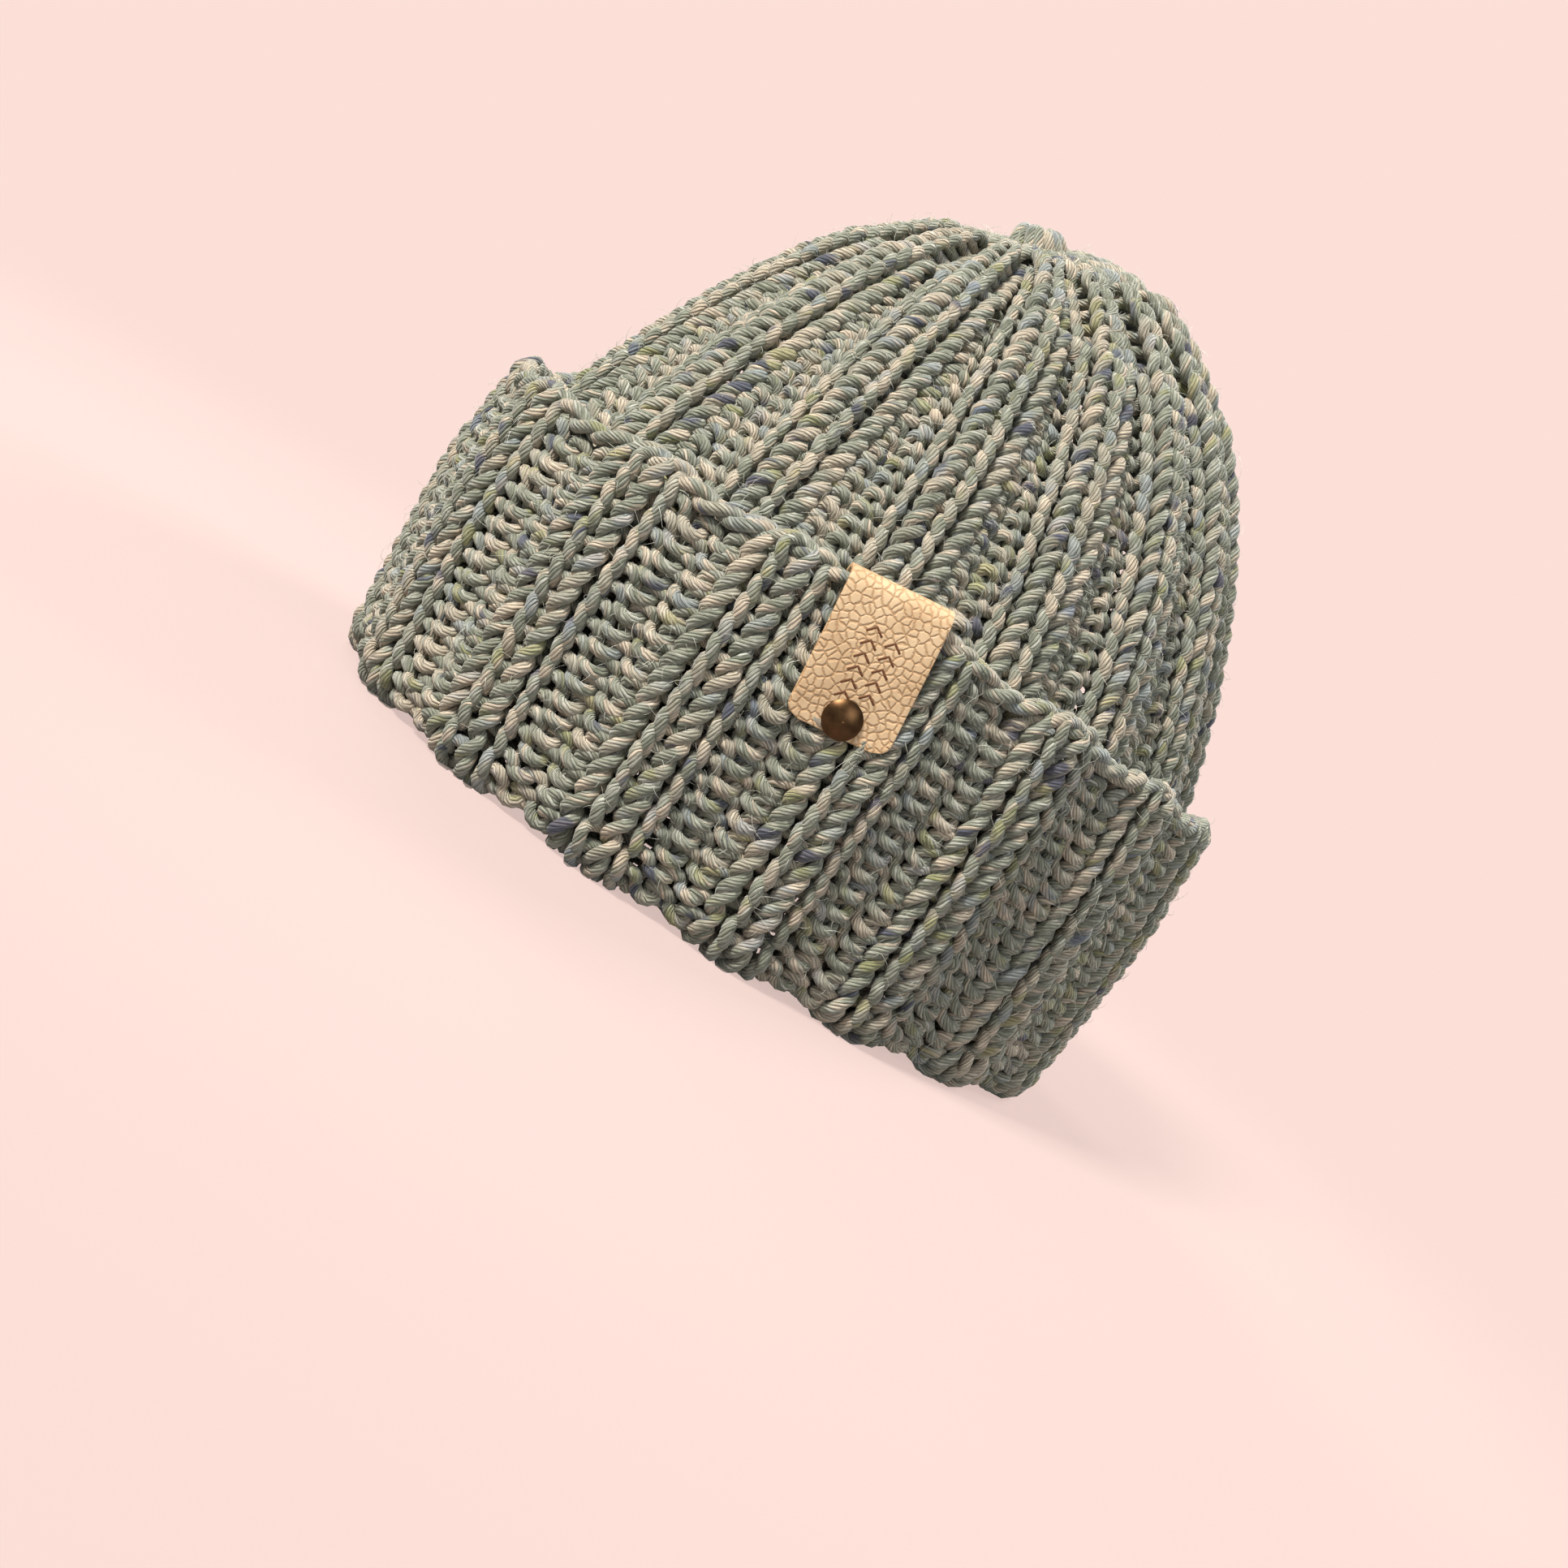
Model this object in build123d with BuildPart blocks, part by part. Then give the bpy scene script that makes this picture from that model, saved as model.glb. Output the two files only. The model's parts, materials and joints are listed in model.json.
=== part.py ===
from build123d import *
import math
import os

# Ribbed knit beanie with a turned-up cuff and a riveted tag.
# +Z is up through the crown, -Y is the wearer's front, +X the wearer's left.
# The origin is the middle of the head opening, at the hem's lowest level.
# The cuff is a ring of rib panels, and each turns down about its own hinge in the rolled fold.

# Driving dimensions, millimetres
opening_half_width = 77.0  # from the axis to the middle of the inner knit layer, at the side
opening_half_length = 95.0  # the same, at the front and back
layer_pitch = 8.0  # from the middle of the inner layer to the middle of the cuff
knit_thickness = 4.6  # firm thickness of one layer
valley_depth = 0.9  # how far a purl valley lies under the rib beside it
cuff_height = 80.0  # from the hem's lowest level to the top of the cast-on edge, front and back
cuff_side_rise = 6.5  # how much higher the edge stands at the sides
crown_start = 62.0  # where the body wall begins to draw in
body_height = 179.5  # to the middle of the knit at the top of the crown shell
decrease_start = 98.0  # where the first decrease rounds begin
last_decrease_start = 136.0  # where the last decrease rounds begin
crown_power = 1.42  # how soon the crown draws in above crown_start
crown_roundness = 1.86  # how round it is over the top
rib_count = 16  # knit ribs round the hat, one to each cuff panel
rib_width = 19.5  # of the raised knit band
hem_radius = 7.2  # outside radius of the rolled fold
hem_core_radius = 2.5  # the open core of the roll
hem_flat = 0.35  # how much of the roll is pressed flat where the hat rests
clearance = 0.4  # between pieces that pass each other
edge_bead_radius = 2.7  # half the thickness of the cast-on edge
crown_hole_radius = 8.0  # ring of last stitches that the closing yarn draws in
crown_shift = -24.0  # the gathered top sits this far towards the front, on the crown's slope
gather_radius = 7.0
gather_lobe_radius = 2.6
gather_lobe_count = 8
gather_height = 5.0  # the pinched tuft, above the crown shell
closing_yarn_radius = 1.6
tag_width = 24.2
tag_thickness = 1.1
tag_length = 34.2  # of each leg, from the top of its fold down
tag_corner = 3.5
tag_tilt = 9.0  # degrees, the strip leans towards the front
tag_offset = -5.4  # its fold, from the middle of its panel along the hinge
tag_panel_position = -32.8  # that panel's middle, along the hinge line from the wearer's left
rivet_edge_distance = 3.8  # from the tag's lower end up to the rivet's axis
rivet_cap_radius = 4.5
rivet_cap_height = 2.2
rivet_rim_height = 0.6
rivet_post_radius = 1.7
rivet_back_radius = 3.6
rivet_back_thickness = 0.6
rivet_fit = 0.05  # radial room round the post
tag_gap = 0.1  # between the tag and the cast-on edge it folds over
closing_yarn_gap = 0.45  # under the crown's inner surface, which curves down round the gather
gather_seat = 0.3  # the tuft's base under the highest point of the crown's outer surface there

# Levels at which the crown is drawn, as shares of the way up from crown_start
crown_levels = [0.0, 0.25, 0.45, 0.62, 0.76, 0.87, 0.94, 0.985, 1.0]
crown_flat = 0.08  # share of the opening's size that is flat at the very top

# Derived sizes
half_knit = knit_thickness / 2
half_pitch = layer_pitch / 2
mean_opening = (opening_half_width + opening_half_length) / 2
hinge_height = hem_radius - hem_flat
hinge_half_width = opening_half_width + half_pitch
hinge_half_length = opening_half_length + half_pitch
panel_foot = hinge_height + hem_radius + clearance
wall_foot = hinge_height + math.sqrt(hem_radius**2 - (half_pitch - half_knit) ** 2) + clearance / 4
tag_inner_radius = edge_bead_radius + tag_gap
tag_outer_radius = tag_inner_radius + tag_thickness
tag_tilt_rise = tag_width / 2 * math.sin(math.radians(tag_tilt))
tag_leg = tag_length - tag_outer_radius
rivet_dome_height = rivet_cap_height - rivet_rim_height
rivet_dome_radius = (rivet_dome_height**2 + rivet_cap_radius**2) / (2 * rivet_dome_height)
rivet_dome_middle = math.sqrt(rivet_dome_radius**2 - (rivet_cap_radius / 2) ** 2)
walk_steps = 7200  # how finely the hinge line is walked to space the panels evenly


def walked_lengths():
    """Length walked along the hinge line at each step, from the wearer's left towards the back."""
    lengths = [0.0]
    for step in range(walk_steps):
        angle = 2 * math.pi * (step + 0.5) / walk_steps
        stretch = math.hypot(hinge_half_width * math.sin(angle), hinge_half_length * math.cos(angle))
        lengths.append(lengths[-1] + stretch * 2 * math.pi / walk_steps)
    return lengths


def hinge_spot(angle):
    """A point of the hinge line, the direction along it and the direction outwards."""
    point = Vector(hinge_half_width * math.cos(angle), hinge_half_length * math.sin(angle), hinge_height)
    along = Vector(-hinge_half_width * math.sin(angle), hinge_half_length * math.cos(angle), 0).normalized()
    return point, along, Vector(along.Y, -along.X, 0)


def corner(spot, neighbour):
    """How far along its hinge a panel's neighbour begins, and half the angle between the two."""
    point, along, outward = spot
    other_point, other_along, other_outward = neighbour
    distance = (other_point - point).dot(other_outward) / along.dot(other_outward)
    return abs(distance), math.radians(along.get_angle(other_along)) / 2


def panel_frames():
    """Hinge point, along, outward, and the corners before and after, for each panel round the hat."""
    lengths = walked_lengths()
    spots = []
    for panel in range(rib_count):
        target = (tag_panel_position + lengths[-1] * panel / rib_count) % lengths[-1]
        step = next(number for number, length in enumerate(lengths) if length >= target)
        spots.append(hinge_spot(2 * math.pi * step / walk_steps))
    frames = []
    for number, spot in enumerate(spots):
        before = corner(spot, spots[number - 1])
        after = corner(spot, spots[(number + 1) % rib_count])
        frames.append((*spot, before, after))
    return frames


def reach(side, offset):
    """How wide a panel may be on one side, so that it clears its neighbour turned up and turned down."""
    distance, half_turn = side
    return distance - abs(offset) * math.tan(half_turn) - clearance


def crown_share(rise):
    """The crown's size at a level, as a share of the opening's."""
    return max(crown_flat, (1 - rise**crown_power) ** (1 / crown_roundness))


def crown_height(x, y):
    """Height of the middle of the knit above a point."""
    share = math.hypot(x / opening_half_width, y / opening_half_length)
    return crown_start + (body_height - crown_start) * (1 - share**crown_roundness) ** (1 / crown_power)


def crown_rings(side):
    """Heights and half axes of the crown's outer (side 1) or inner (side -1) surface."""
    middles = [(crown_start + rise * (body_height - crown_start), crown_share(rise)) for rise in crown_levels]
    rings = []
    for number, (height, share) in enumerate(middles):
        below = middles[max(number - 1, 0)]
        above = middles[min(number + 1, len(middles) - 1)]
        rise = above[0] - below[0]
        run = (below[1] - above[1]) * mean_opening
        if number == 0:
            run = 0.0
        if number == len(middles) - 1:
            rise = 0.0
        slope = math.hypot(rise, run)
        growth = side * half_knit * rise / slope
        lift = side * half_knit * run / slope
        half_width = share * opening_half_width + growth
        rings.append((height + lift, half_width, share * opening_half_length + growth))
    return rings


def bead_height(outward):
    """Height of the middle of a panel's cast-on edge."""
    return cuff_height + cuff_side_rise * outward.X**2 - edge_bead_radius


def panel_outline(before, after):
    """A panel's section: a valley on the side before, and the raised knit band up to the side after."""
    inner = half_pitch - half_knit
    outer = half_pitch + half_knit
    band_end = reach(after, outer)
    band_start = band_end - rib_width
    valley_inner = inner + valley_depth
    valley_outer = outer - valley_depth
    Polygon(
        (valley_outer, -reach(before, valley_outer)),
        (valley_outer, band_start),
        (outer, band_start + valley_depth),
        (outer, band_end),
        (inner, reach(after, inner)),
        (inner, band_start + valley_depth),
        (valley_inner, band_start),
        (valley_inner, -reach(before, valley_inner)),
        align=None,
    )


def finish(part, label):
    """Names a finished piece and writes it."""
    part.label = label
    export_step(part, f"parts/{label}.step")


os.makedirs("parts", exist_ok=True)
frames = panel_frames()
up = Vector(0, 0, 1)

# The tag's own directions: across its width, and up along the strip
tag_point, tag_along, tag_outward = frames[0][0:3]
tilt = math.radians(tag_tilt)
tag_across = tag_along * math.cos(tilt) + up * math.sin(tilt)
tag_up = up * math.cos(tilt) - tag_along * math.sin(tilt)
tag_origin = (
    tag_point
    + tag_outward * half_pitch
    + tag_along * tag_offset
    + up * (bead_height(tag_outward) + tag_tilt_rise - hinge_height)
)
rivet_centre = tag_origin - tag_up * (tag_leg - rivet_edge_distance)
rivet_back_face = rivet_centre - tag_outward * tag_outer_radius
rivet_front_face = rivet_centre + tag_outward * tag_outer_radius

# Inner band: the wall that the cuff covers
with BuildPart() as inner_band:
    with BuildSketch(Plane.XY.offset(wall_foot)):
        Ellipse(opening_half_width + half_knit, opening_half_length + half_knit)
        Ellipse(opening_half_width - half_knit, opening_half_length - half_knit, mode=Mode.SUBTRACT)
    extrude(amount=crown_start - wall_foot)
finish(inner_band.part, "inner_band")

# The gathered top's own plane, square to the crown's slope there
crown_slope = math.atan2(
    crown_height(0, crown_shift + crown_hole_radius) - crown_height(0, crown_shift - crown_hole_radius),
    2 * crown_hole_radius,
)
crown_normal = Vector(0, -math.sin(crown_slope), math.cos(crown_slope))
crown_pole = Vector(0, crown_shift, crown_height(0, crown_shift))
gather_base = crown_pole + crown_normal * (half_knit - gather_seat)
closing_yarn_reach = crown_hole_radius + closing_yarn_radius
closing_yarn_drop = closing_yarn_gap + max(
    (crown_pole - Vector(x, crown_shift + y, crown_height(x, crown_shift + y))).dot(crown_normal)
    for x, y in [(closing_yarn_reach, 0), (0, -closing_yarn_reach), (0, closing_yarn_reach)]
)
yarn_middle = crown_pole - crown_normal * (half_knit + closing_yarn_drop + closing_yarn_radius)
neck_length = knit_thickness - gather_seat + closing_yarn_drop + 2 * closing_yarn_radius

# Crown: the body above the band, drawn in over the head, with a ring of last stitches
with BuildPart() as crown_form:
    for height, half_width, half_length in crown_rings(1):
        with BuildSketch(Plane.XY.offset(height)):
            Ellipse(half_width, half_length)
    loft()
    for height, half_width, half_length in crown_rings(-1):
        with BuildSketch(Plane.XY.offset(height)):
            Ellipse(half_width, half_length)
    loft(mode=Mode.SUBTRACT)
    with BuildSketch(Plane(origin=crown_pole, x_dir=(1, 0, 0), z_dir=crown_normal)):
        Circle(crown_hole_radius)
    extrude(amount=2 * knit_thickness, both=True, mode=Mode.SUBTRACT)

# Crown wall: the straight body up to the first decreases
with BuildPart() as crown_wall:
    add(crown_form.part)
    split(bisect_by=Plane.XY.offset(decrease_start), keep=Keep.BOTTOM)
finish(crown_wall.part, "crown_wall")

# Crown shoulder: the first decrease rounds
with BuildPart() as crown_shoulder:
    add(crown_form.part)
    split(bisect_by=Plane.XY.offset(decrease_start), keep=Keep.TOP)
    split(bisect_by=Plane.XY.offset(last_decrease_start), keep=Keep.BOTTOM)
finish(crown_shoulder.part, "crown_shoulder")

# Crown top: the last decrease rounds and the ring of last stitches
with BuildPart() as crown_top:
    add(crown_form.part)
    split(bisect_by=Plane.XY.offset(last_decrease_start), keep=Keep.TOP)
finish(crown_top.part, "crown_top")

# Crown gather: the last stitches pinched into a fluted tuft, with its neck through the ring
with BuildPart() as crown_gather:
    with BuildSketch(Plane(origin=gather_base, x_dir=(1, 0, 0), z_dir=crown_normal)):
        Circle(gather_radius)
        with PolarLocations(gather_radius, gather_lobe_count):
            Circle(gather_lobe_radius)
    extrude(amount=gather_height)
    tuft_top = crown_gather.faces().sort_by(Axis(tuple(crown_pole), tuple(crown_normal)))[-1]
    fillet(tuft_top.edges(), gather_lobe_radius / 3)
    with BuildSketch(Plane(origin=gather_base, x_dir=(1, 0, 0), z_dir=crown_normal)):
        Circle(crown_hole_radius - rivet_fit)
    extrude(amount=-neck_length)
finish(crown_gather.part, "crown_gather")

# Closing yarn: the tail of yarn drawn tight round the gather's neck, inside the crown
with BuildPart() as closing_yarn:
    with BuildSketch(Plane(origin=yarn_middle, x_dir=(1, 0, 0), z_dir=(0, -crown_normal.Z, crown_normal.Y))):
        with Locations((closing_yarn_reach, 0)):
            Circle(closing_yarn_radius)
    revolve(axis=Axis(tuple(yarn_middle), tuple(crown_normal)))
finish(closing_yarn.part, "closing_yarn")

# Fold hem: the rolled edge that the cuff turns about
with BuildPart() as fold_hem:
    with BuildLine(Plane.XY.offset(hinge_height)):
        EllipticalCenterArc((0, 0), hinge_half_width, hinge_half_length, start_angle=0, arc_size=360)
    roll_start = Plane(origin=(hinge_half_width, 0, hinge_height), x_dir=(1, 0, 0), z_dir=(0, 1, 0))
    with BuildSketch(roll_start):
        Circle(hem_radius)
        Circle(hem_core_radius, mode=Mode.SUBTRACT)
    sweep()
    split(bisect_by=Plane.XY, keep=Keep.TOP)
finish(fold_hem.part, "fold_hem")

# Cuff panels: one rib and one valley each, with the cast-on edge along the top
for number, (point, along, outward, before, after) in enumerate(frames):
    foot = Plane(origin=point + up * (panel_foot - hinge_height), x_dir=outward, z_dir=up)
    bead_offset = half_pitch + edge_bead_radius
    bead_start = point + outward * half_pitch + up * (bead_height(outward) - hinge_height)
    bead_start = bead_start - along * reach(before, bead_offset)
    with BuildPart() as cuff_panel:
        with BuildSketch(foot):
            panel_outline(before, after)
        extrude(amount=bead_height(outward) - panel_foot)
        with BuildSketch(Plane(origin=bead_start, x_dir=outward, z_dir=along)):
            Circle(edge_bead_radius)
        extrude(amount=reach(before, bead_offset) + reach(after, bead_offset))
        if number == 0:
            with BuildSketch(Plane(origin=rivet_centre, x_dir=tag_across, z_dir=outward)):
                Circle(rivet_post_radius + rivet_fit)
            extrude(amount=layer_pitch, both=True, mode=Mode.SUBTRACT)
    finish(cuff_panel.part, f"cuff_panel_{number + 1:02d}")

# Tag: a strip folded over the cast-on edge, one leg outside the cuff and one behind it
with BuildPart() as tag_strip:
    with BuildSketch(Plane(origin=tag_origin, x_dir=tag_outward, z_dir=-tag_across)):
        with BuildLine():
            CenterArc((0, 0), tag_outer_radius, 0, 180)
            Polyline(
                (-tag_outer_radius, 0),
                (-tag_outer_radius, -tag_leg),
                (-tag_inner_radius, -tag_leg),
                (-tag_inner_radius, 0),
            )
            CenterArc((0, 0), tag_inner_radius, 0, 180)
            Polyline(
                (tag_inner_radius, 0),
                (tag_inner_radius, -tag_leg),
                (tag_outer_radius, -tag_leg),
                (tag_outer_radius, 0),
            )
        make_face()
    extrude(amount=tag_width / 2, both=True)
    fillet(tag_strip.edges().filter_by(Axis((0, 0, 0), tuple(tag_outward))), tag_corner)
    with BuildSketch(Plane(origin=rivet_centre, x_dir=tag_across, z_dir=tag_outward)):
        Circle(rivet_post_radius + rivet_fit)
    extrude(amount=layer_pitch, both=True, mode=Mode.SUBTRACT)
finish(tag_strip.part, "tag_strip")

# Rivet: a domed cap in front, a post through both legs and the knit, and a flat back
with BuildPart() as rivet_cap:
    with BuildSketch(Plane(origin=rivet_front_face, x_dir=tag_across, z_dir=tag_across.cross(tag_outward))):
        with BuildLine():
            Polyline((0, rivet_cap_height), (0, 0), (rivet_cap_radius, 0), (rivet_cap_radius, rivet_rim_height))
            ThreePointArc(
                (rivet_cap_radius, rivet_rim_height),
                (rivet_cap_radius / 2, rivet_cap_height - rivet_dome_radius + rivet_dome_middle),
                (0, rivet_cap_height),
            )
        make_face()
    revolve(axis=Axis(tuple(rivet_front_face), tuple(tag_outward)))
finish(rivet_cap.part, "rivet_cap")

with BuildPart() as rivet_post:
    with BuildSketch(Plane(origin=rivet_back_face, x_dir=tag_across, z_dir=tag_outward)):
        Circle(rivet_post_radius)
    extrude(amount=2 * tag_outer_radius)
finish(rivet_post.part, "rivet_post")

with BuildPart() as rivet_back:
    with BuildSketch(Plane(origin=rivet_back_face, x_dir=tag_across, z_dir=-tag_outward)):
        Circle(rivet_back_radius)
    extrude(amount=rivet_back_thickness)
finish(rivet_back.part, "rivet_back")
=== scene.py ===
import json
import math
import bpy
import numpy as np
from mathutils import Matrix, Vector


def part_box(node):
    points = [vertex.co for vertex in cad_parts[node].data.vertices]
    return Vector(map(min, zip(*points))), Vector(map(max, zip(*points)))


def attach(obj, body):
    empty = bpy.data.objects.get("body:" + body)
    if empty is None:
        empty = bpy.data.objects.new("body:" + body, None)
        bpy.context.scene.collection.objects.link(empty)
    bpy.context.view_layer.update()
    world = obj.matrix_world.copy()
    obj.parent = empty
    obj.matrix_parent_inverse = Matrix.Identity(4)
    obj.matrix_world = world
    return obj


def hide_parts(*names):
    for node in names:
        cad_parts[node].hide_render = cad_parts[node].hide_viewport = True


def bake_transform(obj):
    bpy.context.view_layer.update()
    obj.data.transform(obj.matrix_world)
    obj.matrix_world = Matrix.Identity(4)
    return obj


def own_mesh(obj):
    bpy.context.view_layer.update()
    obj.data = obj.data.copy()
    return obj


# Ribbed knit beanie: every stitch is a loop of yarn laid on the surface of the fabric.
# Lengths are millimetres until a mesh is made, and -Y is the wearer's front.

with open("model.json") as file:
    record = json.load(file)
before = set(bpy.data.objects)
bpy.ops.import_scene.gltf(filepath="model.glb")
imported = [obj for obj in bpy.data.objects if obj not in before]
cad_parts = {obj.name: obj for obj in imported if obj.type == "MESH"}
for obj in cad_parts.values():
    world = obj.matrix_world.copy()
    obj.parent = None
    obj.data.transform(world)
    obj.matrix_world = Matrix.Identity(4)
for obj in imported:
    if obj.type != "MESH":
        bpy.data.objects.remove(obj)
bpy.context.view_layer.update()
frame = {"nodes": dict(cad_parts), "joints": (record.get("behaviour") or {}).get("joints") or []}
bpy.ops.object.select_all(action="DESELECT")
mm = 0.001
dice = np.random.default_rng(7)

# Places read from the frame
joints = frame["joints"]
units = len(joints)  # one rib and one valley each, the width of a cuff panel
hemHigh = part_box("fold_hem")[1]
hingeHeight = joints[0]["pos_m"][2] / mm
hemRadius = hemHigh.z / mm - hingeHeight
halfWidth = hemHigh.x / mm - hemRadius
halfLength = hemHigh.y / mm - hemRadius
edgeHeights = [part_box(f"cuff_panel_{unit + 1:02d}")[1].z / mm for unit in range(units)]
cuffTop = min(edgeHeights)
sideRise = max(edgeHeights) - cuffTop
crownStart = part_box("inner_band")[1].z / mm
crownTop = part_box("crown_top")[1].z / mm

fabric = {
    "layerOffset": 4.0,  # the inner wall and the cuff lie this far each side of the hinge line
    "ribShareCuff": 0.457,  # share of a unit taken by the wales that show as purl on the cuff
    "ribShareCrown": 0.54,  # the same wales are the ribs of the crown
    "widenRise": 10,  # from the fold up, over which they widen
    "rowPitch": 4.6,
    "valleyEnd": 0.36,  # share of the opening at which the purl valleys have been decreased away
    "twoKnits": 8.4,  # widths at which a rib or a valley still has two wales, or one
    "twoPurls": 7.6,
    "onePurl": 1.9,
    "foldGap": 5.9,  # from the fold to the rows beside it, which meet when the cuff is down
    "countGap": 3.2,  # the same gap when the cuff's rows are counted, before they are spread out
    "firstRow": 5.6,  # from the cast-on edge to the middle of the first row
    "relief": 1.5,  # how far ribs stand out and valleys lie back
    "borderDip": 0.3,  # share of it by which a wale crosses the middle beside one of the other kind
    "cuffBulge": 1.3,
    "frontFlare": 3.0,  # the front of the cuff stands out, more and more up to this height
    "flareRise": 60,
    "cuffLean": 1.4,  # its top lies in towards the crown
    "leanStart": 42,  # where on the cuff it starts to, and over what height it grows
    "leanRise": 32,
    "edgeWave": 1.3,  # the cuff's edge rises and dips with the ribs, over its last rows
    "waveStart": 40,
    "waveRise": 30,
    "crownGrowth": 1.6,  # the crown is fuller than the wall below it
    "growthStart": 30,
    "growthRise": 40,
    "crownRise": 1.42,  # powers of the crown's profile
    "crownRound": 1.86,
    "crownSink": 2.6,  # the fabric's middle under the crown's highest point
    "crownLean": -24.0,  # the gathered top sits this far towards the front, on the slope
    "leanPower": 1.6,
    "dent": 3.2,  # how deep the gathered top lies in the crown, and how wide the dent is
    "dentWidth": 19.0,
    "dentRise": 40,
    "crownPleat": 2.1,  # extra relief where the ribs are drawn together
    "pleatFrom": (0.95, 0.5),  # shares of the opening where it comes in, and how gently
    "pleatTo": (0.06, 0.2),  # and where it is gone again
    "pleatWave": 0.9,
    "closeShare": 0.085,  # share of the opening at which the rows of stitches end
    "hemRows": 4,
    "pieceHeight": 28,  # fabric in one piece of the wall or the crown
}

stitch = {
    "radius": 1.5,
    "sides": 7,
    "steps": 20,
    "height": 8.3,
    "depth": 1.55,
    "swing": 0.205,  # how far the legs cross over, as a share of the wale's width
    "skew": 0.2,  # one leg stands up straight and the other leans
    "shingle": 0.17,  # each loop leans back behind the next one
    "fade": 0.13,  # share of a wale over which a knit loop turns into a purl one
    "pressed": 0.45,  # how much of its depth a loop loses under the tag
    "wander": (0.28, 0.24, 0.16),  # along the row, up and out
    "uneven": 0.05,  # of the yarn's thickness
    "thinnest": (0.55, 0.62),  # share of the radius on a wale of no width, and the least it falls to
    "fullWidth": 16,
    "skewWidth": 9,  # wales narrower than this lean less
    "waves": [5, 9, 14, 23, 37, 61, 83],
}


def hingeTable(count=7200):
    # arc length round the hinge line, counted from the first panel's middle
    angle = np.linspace(0, 4 * np.pi, 2 * count + 1)
    middle = (angle[:-1] + angle[1:]) / 2
    step = np.hypot(halfWidth * np.sin(middle), halfLength * np.cos(middle)) * (angle[1] - angle[0])
    length = np.concatenate([[0], np.cumsum(step)])
    x, y, z = (c / mm for c in joints[0]["pos_m"])
    start = np.interp(math.atan2(y / halfLength, x / halfWidth) % (2 * math.pi), angle, length)
    return angle, length, start, length[count]


hingeAngle, hingeLength, hingeStart, hingeRound = hingeTable()
rollLength = math.pi * fabric["layerOffset"]


def crownProfile(count=3000):
    # distance along the fabric above the hinge, height, share of the opening
    # the steps get finer towards the pole, where the share changes fastest
    even = 0.9
    last = 1 - np.geomspace(1 - even, 1e-5, count)
    rise = np.concatenate([np.linspace(0, even, count, endpoint=False), last])
    share = (1 - rise ** fabric["crownRise"]) ** (1 / fabric["crownRound"])
    height = crownStart + rise * (crownTop - fabric["crownSink"] - crownStart)
    mean = (halfWidth + halfLength) / 2 - fabric["layerOffset"]
    length = np.concatenate([[0], np.cumsum(np.hypot(np.diff(height), mean * np.diff(share)))])
    wall = crownStart - hingeHeight
    return (
        np.concatenate([[0], wall + length]),
        np.concatenate([[hingeHeight], height]),
        np.concatenate([[1.0], share]),
    )


profileLength, profileHeight, profileShare = crownProfile()


def smooth(t):
    t = np.clip(t, 0, 1)
    return t * t * (3 - 2 * t)


def crownHeight(share):
    # height of the dome over a place that is this share of the way out to the wall
    rise = (1 - np.clip(share, 0, 1) ** fabric["crownRound"]) ** (1 / fabric["crownRise"])
    return crownStart + rise * (crownTop - fabric["crownSink"] - crownStart)


def fabricMiddle(g, v):
    # g counts units round the hat, v runs from the cuff (negative) round the roll and up the crown
    turn = np.interp(((g - 0.5) / units * hingeRound + hingeStart) % hingeRound, hingeLength, hingeAngle)
    normal = np.stack([halfLength * np.cos(turn), halfWidth * np.sin(turn)], -1)
    normal /= np.linalg.norm(normal, axis=-1, keepdims=True)
    layer = fabric["layerOffset"]
    roll = np.clip(-v / layer, 0, math.pi)
    up = np.maximum(-v - rollLength, 0)
    offset = -layer * np.cos(roll) + fabric["cuffBulge"] * np.sin(math.pi * np.clip(up / cuffTop, 0, 1))
    offset = offset - fabric["cuffLean"] * smooth((up - fabric["leanStart"]) / fabric["leanRise"])
    offset = offset + fabric["crownGrowth"] * smooth((v - fabric["growthStart"]) / fabric["growthRise"])
    flare = np.maximum(-normal[..., 1], 0) ** 3 * smooth(up / fabric["flareRise"])
    offset = offset + fabric["frontFlare"] * flare
    share = np.interp(v, profileLength, profileShare)
    lower = hingeHeight - layer * np.sin(roll) + up
    height = np.where(v > 0, np.interp(v, profileLength, profileHeight), lower)
    x = (halfWidth * np.cos(turn) + normal[..., 0] * offset) * share
    y = (halfLength * np.sin(turn) + normal[..., 1] * offset) * share
    lean = fabric["crownLean"] * (1 - share) ** fabric["leanPower"]
    far = np.hypot(np.cos(turn) * share, np.sin(turn) * share + lean / halfLength)
    y = y + lean
    height = height + crownHeight(far) - crownHeight(share)
    away = np.hypot(x, y - fabric["crownLean"]) / fabric["dentWidth"]
    height = height - fabric["dent"] * np.exp(-away * away) * smooth((v - crownStart) / fabric["dentRise"])
    # the cuff's edge stands higher at the sides
    height = height + sideRise * normal[..., 0] ** 2 * np.clip(up / (cuffTop - hingeHeight), 0, 1)
    return np.stack([x, y, height], -1)


def fabricNormal(g, v):
    # towards the side that shows on the crown
    stepRound, stepUp = 0.02, 0.3
    along = fabricMiddle(g + stepRound, v) - fabricMiddle(g - stepRound, v)
    rise = fabricMiddle(g, v + stepUp) - fabricMiddle(g, v - stepUp)
    normal = np.cross(along, rise)
    return normal / np.linalg.norm(normal, axis=-1, keepdims=True)


def unitLength(v):
    share = float(np.interp(v, profileLength, profileShare))
    inside = 1 if v > -rollLength / 2 else -1
    return (hingeRound - 2 * math.pi * fabric["layerOffset"] * inside) / units * share


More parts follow.
